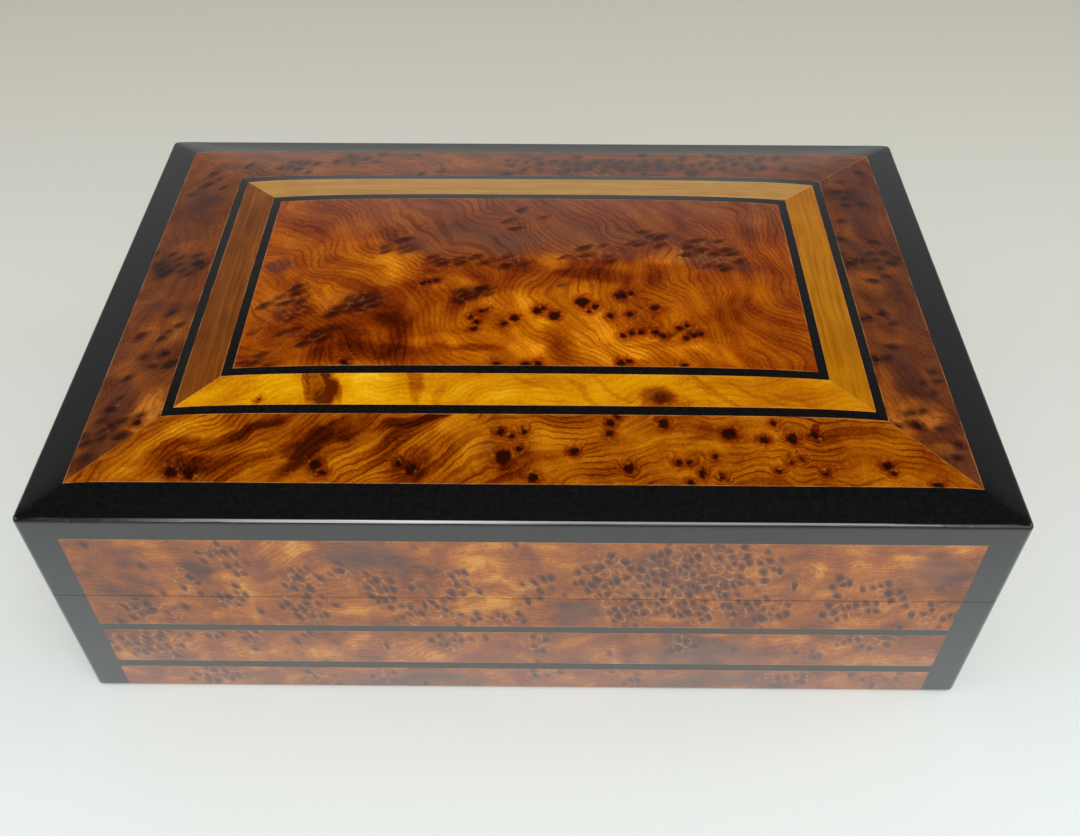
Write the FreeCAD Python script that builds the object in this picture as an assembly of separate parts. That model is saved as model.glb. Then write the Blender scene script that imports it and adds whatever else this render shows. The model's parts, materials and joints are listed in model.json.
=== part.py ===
import FreeCAD, Part
import math
import os

# A hinged keepsake box with a crowned, marquetry-veneered lid.
# Millimetres. +X is to the right along the long side, +Y to the back, +Z up.
# The origin is the centre of the underside.

V = FreeCAD.Vector

# Overall size
LENGTH = 300.0                 # outside, left to right
DEPTH = 204.0                  # outside, front to back
BODY_HEIGHT = 54.0             # underside to the rim that the lid closes on
SEAM_GAP = 0.25                # rim to the closed lid
LID_SIDE_HEIGHT = 37.15        # lid's rim to the sharp edge of its side

# Crown of the lid: two parabolic arches that meet in soft hips
END_RISE = 17.4                # arch that falls to the left and right ends
SIDE_RISE = 15.6               # arch that falls to the front and back
HIP_SOFTNESS = 0.04            # 0 is a sharp hip, 1 is none
CROWN_STEP = 6.0               # spacing of the points that the surface passes through
CROWN_MARGIN = 6.0             # how far the surface runs past the box before it is trimmed

# Rounded corners
CORNER_RADIUS = 2.0            # upright corners
ARRIS_RADIUS = 1.5             # the lid's top edge and the underside's edge

# Walls
POST = 11.5                    # square corner posts, and the walls between them
VENEER = 1.5                   # veneers and inlaid lines, sides and top alike
BOTTOM_BOARD = 6.0
BASE_FELT = 1.0
BASE_FELT_MARGIN = 1.0         # felt's edge to the walls
FLOOR_FELT = 1.5
LINER = 3.0                    # boards that line the walls
LINER_LIP = 3.0                # how far they stand above the rim
LIP_RELIEF = 0.5               # lip's outer face to the lid's walls
LIP_ROUND = 0.8

# Bands on the sides, from the underside up
LOWER_BURL = 12.7
LOWER_LINE = 3.7
MIDDLE_BURL = 18.6
UPPER_LINE = 3.3

# Lid
EDGING_HEIGHT = 8.4            # black edging, at its outer face
EDGING_WIDTH = 12.5            # black edging, seen from above
LID_FLANGE = 5.0               # rim of the lid board that lies on the lid's walls
LID_FELT = 1.5

# Marquetry on the crown, from the edging inwards
BURL_BORDER = 24.35
OUTER_LINE = 3.25
PALE_FRAME = 12.65
INNER_LINE = 3.2

# Butt hinges, let into both rims at the back
HINGE_END_INSET = 65.0         # end of the box to a hinge's middle
HINGE_LENGTH = 30.0
AXIS_INSET = 3.0               # pin's axis to the back face
STOP_ANGLE = 100.0             # the bevelled back rims meet when the lid has turned this far
BARREL_RADIUS = 2.2
PIN_RADIUS = 0.9
PIN_CLEARANCE = 0.06           # in the lid leaf's knuckles, which turn on the pin
POCKET_CLEARANCE = 0.3         # barrel to the wood and to the other leaf
KNUCKLES = 5                   # the body's leaf has the odd ones
KNUCKLE_GAP = 0.2
LEAF_WIDTH = 7.0               # pin's axis to the leaf's front edge
LEAF_THICKNESS = 1.0
LEAF_CLEARANCE = 0.15          # leaf's edges to its mortise
SCREW_SPACING = 18.0
SCREW_EDGE = 2.45              # leaf's front edge to the screws' line
SCREW_HEAD_RADIUS = 1.8
SCREW_RADIUS = 1.0
SCREW_LENGTH = 8.0
SCREW_CONE = 0.8               # depth of the countersunk head
SLOT_WIDTH = 0.5
SLOT_DEPTH = 0.35

# Heights and places that follow from the sizes above
LID_BOTTOM = BODY_HEIGHT + SEAM_GAP
LID_EDGE = LID_BOTTOM + LID_SIDE_HEIGHT
EDGING_BOTTOM = LID_EDGE - EDGING_HEIGHT
LID_BOARD_BOTTOM = EDGING_BOTTOM - LID_FLANGE
BOARD_TOP = BASE_FELT + BOTTOM_BOARD
AXIS_Y = DEPTH / 2 - AXIS_INSET
AXIS_Z = BODY_HEIGHT + SEAM_GAP / 2
HINGE_X = LENGTH / 2 - HINGE_END_INSET
PAST = 1.0                     # how far a cutting shape runs past what it cuts
SKY = LID_EDGE + END_RISE + SIDE_RISE

SIDES = ("front", "back", "left", "right")


def box_between(low, high):
    """Upright block from its low corner to its high corner."""
    size = [b - a for a, b in zip(low, high)]
    return Part.makeBox(size[0], size[1], size[2], V(*low))


def centred_block(inset, bottom, top):
    """Block whose sides lie a given distance inside the box's sides."""
    x, y = LENGTH / 2 - inset, DEPTH / 2 - inset
    return box_between((-x, -y, bottom), (x, y, top))


def cylinder_along_x(radius, x_start, x_end):
    """Cylinder on the hinge axis."""
    return Part.makeCylinder(radius, x_end - x_start, V(x_start, AXIS_Y, AXIS_Z), V(1, 0, 0))


def prism(corners, bottom, top):
    """Upright prism over a flat outline."""
    points = [V(x, y, bottom) for x, y in corners]
    face = Part.Face(Part.makePolygon(points + [points[0]]))
    return face.extrude(V(0, 0, top - bottom))


def side_corners(side, outer, inner):
    """Outline of one mitred side of a frame between two insets."""
    a, b = LENGTH / 2 - outer, DEPTH / 2 - outer
    c, d = LENGTH / 2 - inner, DEPTH / 2 - inner
    return {
        "front": [(-a, -b), (a, -b), (c, -d), (-c, -d)],
        "back": [(a, b), (-a, b), (-c, d), (c, d)],
        "left": [(-a, b), (-a, -b), (-c, -d), (-c, d)],
        "right": [(a, -b), (a, b), (c, d), (c, -d)],
    }[side]


def mitred_prism(side, outer, inner, bottom, top):
    """One mitred side of a frame, as an upright prism."""
    return prism(side_corners(side, outer, inner), bottom, top)


def wall_prism(side, outer, inner, bottom, top):
    """Straight-ended stretch of one side, between the corner posts."""
    x, y = LENGTH / 2, DEPTH / 2
    span_x, span_y = x - POST, y - POST
    low, high = {
        "front": ((-span_x, -y + outer), (span_x, -y + inner)),
        "back": ((-span_x, y - inner), (span_x, y - outer)),
        "left": ((-x + outer, -span_y), (-x + inner, span_y)),
        "right": ((x - inner, -span_y), (x - outer, span_y)),
    }[side]
    return box_between((*low, bottom), (*high, top))


def post_prisms(bottom, top):
    """The four square corner posts."""
    posts = []
    for sx in (-1, 1):
        for sy in (-1, 1):
            x, y = sx * (LENGTH - POST) / 2, sy * (DEPTH - POST) / 2
            posts.append(box_between((x - POST / 2, y - POST / 2, bottom), (x + POST / 2, y + POST / 2, top)))
    return posts


def only_solid(shape):
    """The single solid of a boolean result."""
    solids = shape.Solids
    if len(solids) != 1:
        raise ValueError("expected one solid, found %d" % len(solids))
    return solids[0]


def crown_height(x, y):
    """Height of the lid's top surface over a point of the plan."""
    ends = END_RISE * (1 - (2 * x / LENGTH) ** 2)
    sides = SIDE_RISE * (1 - (2 * y / DEPTH) ** 2)
    spread = math.sqrt((ends - sides) ** 2 + 4 * HIP_SOFTNESS * ends * sides)
    return LID_EDGE + (ends + sides - spread) / 2


def crown_face():
    """The crowned surface, running a little past the box on every side."""
    half_x, half_y = LENGTH / 2 + CROWN_MARGIN, DEPTH / 2 + CROWN_MARGIN
    steps_x, steps_y = round(2 * half_x / CROWN_STEP), round(2 * half_y / CROWN_STEP)
    rows = []
    for i in range(steps_x + 1):
        x = half_x * (2 * i / steps_x - 1)
        heights = [half_y * (2 * j / steps_y - 1) for j in range(steps_y + 1)]
        rows.append([V(x, y, crown_height(x, y)) for y in heights])
    surface = Part.BSplineSurface()
    surface.interpolate(rows)
    return surface.toShape()


def is_upright(edge):
    """True for a straight vertical edge."""
    start, end = edge.Vertexes[0].Point, edge.Vertexes[-1].Point
    return math.hypot(end.x - start.x, end.y - start.y) < 1e-3


def rim_bevel():
    """Wedge cut from both back rims, with its point on the hinge axis."""
    reach = AXIS_INSET + PAST
    drop = reach * math.tan(math.radians(STOP_ANGLE / 2))
    points = [V(-LENGTH, AXIS_Y, AXIS_Z), V(-LENGTH, AXIS_Y + reach, AXIS_Z - drop),
              V(-LENGTH, AXIS_Y + reach, AXIS_Z + drop)]
    face = Part.Face(Part.makePolygon(points + [points[0]]))
    return face.extrude(V(2 * LENGTH, 0, 0))


def body_block():
    """Outer form of the box's body."""
    block = centred_block(0, 0, BODY_HEIGHT)
    block = block.makeFillet(CORNER_RADIUS, [e for e in block.Edges if is_upright(e)])
    block = block.makeFillet(ARRIS_RADIUS, [e for e in block.Edges if e.BoundBox.ZMax < ARRIS_RADIUS])
    return block.cut(rim_bevel())


def lid_side_block():
    """Outer form of the lid below its black edging."""
    block = centred_block(0, LID_BOTTOM, EDGING_BOTTOM)
    block = block.makeFillet(CORNER_RADIUS, [e for e in block.Edges if is_upright(e)])
    return block.cut(rim_bevel())


def edging_block(crown):
    """Outer form of the lid above its side veneers, with the top arris rounded."""
    under_crown = crown.extrude(V(0, 0, EDGING_BOTTOM - SKY))
    block = only_solid(under_crown.common(centred_block(0, EDGING_BOTTOM, SKY)))
    block = block.makeFillet(CORNER_RADIUS, [e for e in block.Edges if is_upright(e)])
    arris = [e for e in block.Edges if e.BoundBox.ZMin > EDGING_BOTTOM + PAST and not is_upright(e)]
    return block.makeFillet(ARRIS_RADIUS, arris)


def hinge_sites():
    """Name and middle of each hinge."""
    return (("left", -HINGE_X), ("right", HINGE_X))


def knuckle_spans(middle, first):
    """X ranges of every second knuckle, counted from first."""
    width = (HINGE_LENGTH - (KNUCKLES - 1) * KNUCKLE_GAP) / KNUCKLES
    start = middle - HINGE_LENGTH / 2
    return [(start + k * (width + KNUCKLE_GAP), start + k * (width + KNUCKLE_GAP) + width)
            for k in range(first, KNUCKLES, 2)]


def screw_spots(middle):
    """Plan positions of one leaf's screws."""
    y = AXIS_Y - LEAF_WIDTH + SCREW_EDGE
    return [(middle - SCREW_SPACING / 2, y), (middle + SCREW_SPACING / 2, y)]


def screw_solid(x, y, rim, into):
    """Countersunk screw, flush with a rim; into is -1 for downwards and 1 for upwards."""
    head = Part.makeCone(SCREW_HEAD_RADIUS, SCREW_RADIUS, SCREW_CONE, V(x, y, rim), V(0, 0, into))
    shank = Part.makeCylinder(SCREW_RADIUS, SCREW_LENGTH - SCREW_RADIUS, V(x, y, rim), V(0, 0, into))
    tip_base = V(x, y, rim + into * (SCREW_LENGTH - SCREW_RADIUS))
    tip = Part.makeCone(SCREW_RADIUS, 0, SCREW_RADIUS, tip_base, V(0, 0, into))
    return head.fuse([shank, tip]).removeSplitter()


def slotted_screw(x, y, rim, into):
    """Screw with a driving slot across its head."""
    depth = sorted((rim - into * PAST, rim + into * SLOT_DEPTH))
    slot = box_between((x - SCREW_HEAD_RADIUS - PAST, y - SLOT_WIDTH / 2, depth[0]),
                       (x + SCREW_HEAD_RADIUS + PAST, y + SLOT_WIDTH / 2, depth[1]))
    return only_solid(screw_solid(x, y, rim, into).cut(slot))


def leaf(middle, rim, into, first, bore_radius):
    """Hinge leaf, flush with a rim, with every second knuckle from first."""
    half = HINGE_LENGTH / 2
    levels = sorted((rim, rim + into * LEAF_THICKNESS))
    front, root = AXIS_Y - LEAF_WIDTH, AXIS_Y - BARREL_RADIUS - POCKET_CLEARANCE
    plate = box_between((middle - half, front, levels[0]), (middle + half, root, levels[1]))
    parts = []
    for start, end in knuckle_spans(middle, first):
        parts.append(box_between((start, root, levels[0]), (end, AXIS_Y, levels[1])))
        parts.append(cylinder_along_x(BARREL_RADIUS, start, end))
    shape = plate.fuse(parts).removeSplitter()
    shape = shape.cut(cylinder_along_x(bore_radius, middle - half - PAST, middle + half + PAST))
    for x, y in screw_spots(middle):
        shape = shape.cut(screw_solid(x, y, rim, into))
    return only_solid(shape)


def hinge_recess(middle, rim, into):
    """What one leaf, its barrel and its screws take out of the wood."""
    half = HINGE_LENGTH / 2
    levels = sorted((rim - into * PAST, rim + into * LEAF_THICKNESS))
    mortise = box_between(
        (middle - half - LEAF_CLEARANCE, AXIS_Y - LEAF_WIDTH - LEAF_CLEARANCE, levels[0]),
        (middle + half + LEAF_CLEARANCE, AXIS_Y, levels[1]))
    pocket = cylinder_along_x(BARREL_RADIUS + POCKET_CLEARANCE,
                              middle - half - POCKET_CLEARANCE, middle + half + POCKET_CLEARANCE)
    screws = [screw_solid(x, y, rim, into) for x, y in screw_spots(middle)]
    return [mortise, pocket] + screws


def hinge_recesses(rim, into):
    """The recesses of both hinges in one rim."""
    return [tool for _, middle in hinge_sites() for tool in hinge_recess(middle, rim, into)]


def body_pieces():
    """Carcass of the body: boards, posts, felts and liners."""
    block = body_block()
    recesses = hinge_recesses(BODY_HEIGHT, -1)
    pieces = {
        "base_felt": centred_block(POST + BASE_FELT_MARGIN, 0, BASE_FELT),
        "bottom_board": centred_block(POST, BASE_FELT, BOARD_TOP),
        "floor_felt": centred_block(POST + LINER, BOARD_TOP, BOARD_TOP + FLOOR_FELT),
        "body_corner_posts": Part.makeCompound(
            [only_solid(block.common(post)) for post in post_prisms(0, BODY_HEIGHT)]),
    }
    for side in SIDES:
        wall = block.common(wall_prism(side, VENEER, POST, 0, BODY_HEIGHT))
        if side == "back":
            wall = wall.cut(recesses)
        pieces["body_%s_wall" % side] = only_solid(wall)
    return pieces


def liner_pieces():
    """Four mitred boards that line the walls and stand up as a lip inside the lid."""
    lip_top = BODY_HEIGHT + LINER_LIP
    lower = centred_block(POST, BOARD_TOP, BODY_HEIGHT)
    lip = centred_block(POST + LIP_RELIEF, BODY_HEIGHT, lip_top)
    ring = lower.fuse(lip).cut(centred_block(POST + LINER, BOARD_TOP, lip_top))
    top_edges = [e for e in ring.Edges if e.BoundBox.ZMin > lip_top - 1e-3]
    ring = ring.makeFillet(LIP_ROUND, top_edges)
    pieces = {}
    for side in SIDES:
        wedge = mitred_prism(side, POST, POST + LINER, BOARD_TOP, lip_top)
        pieces["liner_%s" % side] = only_solid(ring.common(wedge))
    return pieces


def body_skins():
    """Burl veneers and the two black lines on the body's four sides."""
    block = body_block()
    bands = (("lower", LOWER_BURL, LOWER_LINE), ("middle", MIDDLE_BURL, UPPER_LINE))
    pieces = {}
    bottom = 0.0
    for name, burl, line in bands:
        for side in SIDES:
            strip = wall_prism(side, 0, VENEER, bottom, bottom + burl)
            pieces["%s_%s_veneer" % (side, name)] = only_solid(block.common(strip))
        lines = [wall_prism(side, 0, VENEER, bottom + burl, bottom + burl + line) for side in SIDES]
        line_name = "lower_stringing" if name == "lower" else "upper_stringing"
        pieces[line_name] = Part.makeCompound([only_solid(block.common(strip)) for strip in lines])
        bottom += burl + line
    for side in SIDES:
        strip = block.common(wall_prism(side, 0, VENEER, bottom, BODY_HEIGHT))
        if side == "back":
            strip = strip.cut(hinge_recesses(BODY_HEIGHT, -1))
        pieces["%s_upper_veneer" % side] = only_solid(strip)
    return pieces


def lid_side_pieces():
    """Walls, corner posts and side veneers of the lid."""
    block = lid_side_block()
    recesses = hinge_recesses(LID_BOTTOM, 1)
    pieces = {"lid_corner_posts": Part.makeCompound(
        [only_solid(block.common(post)) for post in post_prisms(LID_BOTTOM, EDGING_BOTTOM)])}
    for side in SIDES:
        wall = block.common(wall_prism(side, VENEER, POST, LID_BOTTOM, LID_BOARD_BOTTOM))
        skin = block.common(wall_prism(side, 0, VENEER, LID_BOTTOM, EDGING_BOTTOM))
        if side == "back":
            wall, skin = wall.cut(recesses), skin.cut(recesses)
        pieces["lid_%s_wall" % side] = only_solid(wall)
        pieces["lid_%s_veneer" % side] = only_solid(skin)
    return pieces


def lid_board(crown):
    """Board under the crown, with a flange that lies on the lid's walls."""
    flange = centred_block(VENEER, LID_BOARD_BOTTOM, EDGING_BOTTOM)
    flange = flange.cut(post_prisms(LID_BOARD_BOTTOM - PAST, EDGING_BOTTOM + PAST))
    core_top = crown.translated(V(0, 0, -VENEER)).extrude(V(0, 0, EDGING_BOTTOM - SKY))
    raised = core_top.common(centred_block(EDGING_WIDTH, EDGING_BOTTOM, SKY))
    return only_solid(flange.fuse(raised).removeSplitter())


def lid_top_pieces():
    """Black edging, lid board, marquetry and felt of the lid."""
    crown = crown_face()
    block = edging_block(crown)
    skin = crown.extrude(V(0, 0, -VENEER))
    pieces = {
        "lid_board": lid_board(crown),
        "lid_felt": centred_block(POST, LID_BOARD_BOTTOM - LID_FELT, LID_BOARD_BOTTOM),
    }
    border_end = EDGING_WIDTH + BURL_BORDER
    line_end = border_end + OUTER_LINE
    frame_end = line_end + PALE_FRAME
    panel_start = frame_end + INNER_LINE
    for side in SIDES:
        edging = block.common(mitred_prism(side, 0, EDGING_WIDTH, EDGING_BOTTOM, SKY))
        pieces["edging_%s" % side] = only_solid(edging)
        border = mitred_prism(side, EDGING_WIDTH, border_end, EDGING_BOTTOM, SKY)
        pieces["burl_border_%s" % side] = only_solid(skin.common(border))
        frame = mitred_prism(side, line_end, frame_end, EDGING_BOTTOM, SKY)
        pieces["pale_frame_%s" % side] = only_solid(skin.common(frame))
    for name, outer, inner in (("outer_stringing", border_end, line_end),
                               ("inner_stringing", frame_end, panel_start)):
        lines = [skin.common(mitred_prism(side, outer, inner, EDGING_BOTTOM, SKY)) for side in SIDES]
        pieces[name] = Part.makeCompound([only_solid(line) for line in lines])
    panel = skin.common(centred_block(panel_start, EDGING_BOTTOM, SKY))
    pieces["centre_panel"] = only_solid(panel)
    return pieces


def hinge_pieces():
    """Leaves, pins and screws of the two butt hinges."""
    pieces, pins, body_screws, lid_screws = {}, [], [], []
    for name, middle in hinge_sites():
        pieces["body_leaf_%s" % name] = leaf(middle, BODY_HEIGHT, -1, 0, PIN_RADIUS)
        pieces["lid_leaf_%s" % name] = leaf(middle, LID_BOTTOM, 1, 1, PIN_RADIUS + PIN_CLEARANCE)
        pins.append(cylinder_along_x(PIN_RADIUS, middle - HINGE_LENGTH / 2, middle + HINGE_LENGTH / 2))
        for x, y in screw_spots(middle):
            body_screws.append(slotted_screw(x, y, BODY_HEIGHT, -1))
            lid_screws.append(slotted_screw(x, y, LID_BOTTOM, 1))
    pieces["hinge_pins"] = Part.makeCompound(pins)
    pieces["body_hinge_screws"] = Part.makeCompound(body_screws)
    pieces["lid_hinge_screws"] = Part.makeCompound(lid_screws)
    return pieces


def main():
    """Builds every piece and writes one file for each node."""
    os.makedirs("parts", exist_ok=True)
    pieces = {}
    for group in (body_pieces, liner_pieces, body_skins, lid_side_pieces, lid_top_pieces, hinge_pieces):
        pieces.update(group())
    for name, shape in pieces.items():
        shape.exportStep("parts/%s.step" % name)
        print("%-20s %2d solids %12.2f mm3 valid %s" % (name, len(shape.Solids), shape.Volume, shape.isValid()))
    print("%d nodes" % len(pieces))


main()
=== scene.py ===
"""Looks of a hinged keepsake box with a crowned marquetry lid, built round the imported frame.

The box's own solids keep their shapes. This script gives each of them the finish of the real
material, replaces the felts with soft sheets, and adds the table, the light and the camera.
"""

import json
import logging
import math
import random
from dataclasses import dataclass
from enum import Enum

import bpy
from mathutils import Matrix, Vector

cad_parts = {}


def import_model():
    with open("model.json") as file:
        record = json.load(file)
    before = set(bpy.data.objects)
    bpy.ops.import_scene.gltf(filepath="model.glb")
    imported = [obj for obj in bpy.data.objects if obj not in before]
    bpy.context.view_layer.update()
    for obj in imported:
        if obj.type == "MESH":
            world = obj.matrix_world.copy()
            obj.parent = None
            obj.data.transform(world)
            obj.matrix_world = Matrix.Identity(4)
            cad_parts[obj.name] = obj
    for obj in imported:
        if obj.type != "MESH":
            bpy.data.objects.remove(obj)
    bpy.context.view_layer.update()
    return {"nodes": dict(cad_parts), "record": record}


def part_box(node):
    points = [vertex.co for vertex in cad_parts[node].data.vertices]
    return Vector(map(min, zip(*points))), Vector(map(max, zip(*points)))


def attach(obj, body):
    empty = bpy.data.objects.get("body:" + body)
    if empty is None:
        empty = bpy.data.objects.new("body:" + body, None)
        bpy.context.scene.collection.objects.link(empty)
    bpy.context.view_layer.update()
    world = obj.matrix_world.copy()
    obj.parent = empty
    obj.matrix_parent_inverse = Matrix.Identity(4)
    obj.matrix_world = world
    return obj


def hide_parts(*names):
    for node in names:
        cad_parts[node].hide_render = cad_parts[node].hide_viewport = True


LOG = logging.getLogger("keepsake_box")
Socket = bpy.types.NodeSocket

MM = 0.001
MITRE_SHIFT = 48.0  # mm by which each ring of the lid is longer than it is deep, halved
RINGS = (89.5, 65.15, 61.9, 49.25, 46.05)  # mm from the lid's long middle line to each seam
BANDS = (12.7, 16.4, 35.0, 38.3, 83.0)  # mm from the table to each seam on the sides

SOFT = {"interpolation_type": "SMOOTHSTEP"}  # settings of a map range with soft ends
COLOURS = {"output": 2, "data_type": "RGBA"}  # settings of a mix of two colours

HALO_TINT = "#b86434"  # red-brown round a knot, multiplied over the wood
GRAIN_TINT = "#a05830"  # dark side of a grain line, multiplied over the wood
PAINTED_GLARE_TINT = "#e4dcdc"  # painted glare of the bright table, pale and thickest low on the sides
PAINTED_SEAM_HIGHLIGHT = "#cf9858"  # painted highlight: the thin bright line of lacquer between two leaves
OPEN_PORE = "#2a1208"
DULL_LIMIT = 0.8  # most that a dull patch, painted reflection included, hides of the wood below it
CORE_REACH = 1.22  # reach of a knot's core with its soft edge, as a share of its radius
LID_EDGE = 90.0  # mm from the table to the lid's edge, where the painted glare ends
GRAIN_LINES = ((2 * math.pi, -0.1), (4.9 * math.pi, -0.3))  # bold, fine: radians to a line, wave's start
SHADOW_BANDS = (1.35, 0.07)  # radians to a line and strength of the shadows that follow the grain
EYE_STRAY = 0.85  # how far the eyes stray from rows, where 1 is no rows at all
FAR_AWAY = 50.0  # mm, past any knot's reach
PATCH_EDGE = (1.35, 0.55)  # where a patch starts and where it is whole, as shares of its reach


def hex_to_linear(code: str) -> tuple[float, float, float, float]:
    """Turns an sRGB hex colour into the linear colour that a socket takes.

    Args:
        code: Colour such as "#d07c10".

    Returns:
        Linear red, green, blue and an alpha of 1.
    """
    channels = [int(code[i:i + 2], 16) / 255 for i in (1, 3, 5)]
    linear = [c / 12.92 if c <= 0.04045 else ((c + 0.055) / 1.055) ** 2.4 for c in channels]
    return (*linear, 1.0)


class Graph:
    """Node tree of one material or world, filled a node at a time."""

    def __init__(self, owner: bpy.types.ID) -> None:
        """Empties the owner's node tree.

        Args:
            owner: Material or world.
        """
        self.owner = owner
        owner.use_nodes = True
        self.tree = owner.node_tree
        self.tree.nodes.clear()

    def add(self, kind: str, inputs: dict | tuple = (), output: int | str = 0,
            stops: tuple[tuple[float, str], ...] = (), **settings: object) -> Socket:
        """Adds one node with its settings and links.

        Args:
            kind: Node type without its "ShaderNode" prefix.
            inputs: Values, hex colours or sockets to link, by name or number of the input, or in order.
            output: Name or number of the output that is wanted.
            stops: Position and hex colour of each stop, for a colour ramp.
            **settings: Properties of the node.

        Returns:
            The wanted output socket, or None for an output node.
        """
        node = self.tree.nodes.new("ShaderNode" + kind)
        for name, value in settings.items():
            setattr(node, name, value)
        for key, value in inputs.items() if isinstance(inputs, dict) else enumerate(inputs):
            if isinstance(value, Socket):
                self.tree.links.new(value, node.inputs[key])
            else:
                node.inputs[key].default_value = hex_to_linear(value) if isinstance(value, str) else value
        for _ in stops[2:]:
            node.color_ramp.elements.new(0.5)
        for number, (position, code) in enumerate(stops):
            node.color_ramp.elements[number].position = position
            node.color_ramp.elements[number].color = hex_to_linear(code)
        return node.outputs[output] if node.outputs else None

    def surface(self, inputs: dict) -> bpy.types.Material:
        """Ends a material with one surface shader.

        Args:
            inputs: Inputs of the shader, as for add.

        Returns:
            The material.
        """
        self.add("OutputMaterial", {"Surface": self.add("BsdfPrincipled", inputs)})
        return self.owner

    def warp(self, point: Socket, size: float, reach: float, seed: float = 0.0) -> Socket:
        """Pushes a flat point about with smooth noise.

        Args:
            point: The point, in millimetres.
            size: Size of the noise's swells, in millimetres.
            reach: How far a point may move, in millimetres.
            seed: Shift of the noise, so that no two leaves are alike.

        Returns:
            The moved point.
        """
        shifted = self.add("VectorMath", (point, (seed, seed * 0.7, seed * 1.3)), operation="ADD")
        noise = self.add("TexNoise", {"Vector": shifted, "Scale": 1 / size, "Detail": 2.0}, "Color")
        centred = self.add("VectorMath", (noise, (0.5, 0.5, 0.5)), operation="SUBTRACT")
        push = self.add("VectorMath", (centred, (2 * reach, 2 * reach, 0.0)), operation="MULTIPLY")
        return self.add("VectorMath", (point, push), operation="ADD")


class Plane(Enum):
    """Which two axes a leaf of veneer lies along."""

    TOP = ("X", "Y")
    FACE = ("X", "Z")
    END = ("Y", "Z")


@dataclass(frozen=True)
class Patch:
    """Soft-edged ellipse on a leaf, in millimetres of the leaf's plane."""

    x: float
    y: float
    reach_x: float
    reach_y: float
    strength: float
    turn: float = 0.0  # degrees from the leaf's first axis to reach_x


@dataclass(frozen=True)
class Knot:
    """One pin knot that stands clear of its neighbours, in millimetres of the leaf's plane."""

    x: float
    y: float
    radius: float


def patch_rows(*rows: tuple[float, ...]) -> tuple[Patch, ...]:
    """Makes a patch of each row of x, y, reach_x, reach_y, strength in percent and turn."""
    return tuple(Patch(*row[:4], row[4] / 100, *row[5:]) for row in rows)


def knot_rows(*rows: tuple[float, float, float]) -> tuple[Knot, ...]:
    """Makes a knot of each row of x, y and radius."""
    return tuple(Knot(*row) for row in rows)


@dataclass(frozen=True)
class EyeField:
    """Crowds of small drawn-out eyes: where they are, how far apart and how long each one is."""

    crowds: tuple[Patch, ...]
    long_pitch: float = 4.8  # mm between eyes along their length
    short_pitch: float = 2.7  # mm between eyes across their length
    turn: float = 110.0  # degrees from the leaf's first axis to the eyes' length
    smallest: float = 0.06  # radius, as a share of the pitch
    largest: float = 0.34
    stray: float = 0.03  # share of places outside the crowds that have an eye
    softness: float = 0.22  # width of an eye's soft edge, as a share of the pitch
    strength: float = 0.85  # how dark the eyes are
    mesh: float = 0.5  # how far the broken pale lines between eyes show
    mesh_colour: str = "#c98646"


@dataclass(frozen=True)
class Lacquer:
    """Clear polyester gloss, poured thick and polished: a sharp mirror over the wood's own sheen."""

    roughness: float = 0.035
    ior: float = 1.5
    base_roughness: float = 0.3
    base_sheen: float = 0.0

    def finish(self, graph: Graph, colour: Socket, bump: Socket | None = None) -> bpy.types.Material:
        """Ends a material with wood under lacquer.

        Args:
            graph: The material's nodes.
            colour: Colour of the wood.
            bump: Normal of the lacquer's surface, where it isn't quite flat.

        Returns:
            The material.
        """
        inputs = {
            "Base Color": colour,
            "Roughness": self.base_roughness,
            "Specular IOR Level": self.base_sheen,
            "Coat Weight": 1.0,
            "Coat Roughness": self.roughness,
            "Coat IOR": self.ior,
        }
        if bump is not None:
            inputs["Coat Normal"] = bump
        return graph.surface(inputs)


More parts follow.
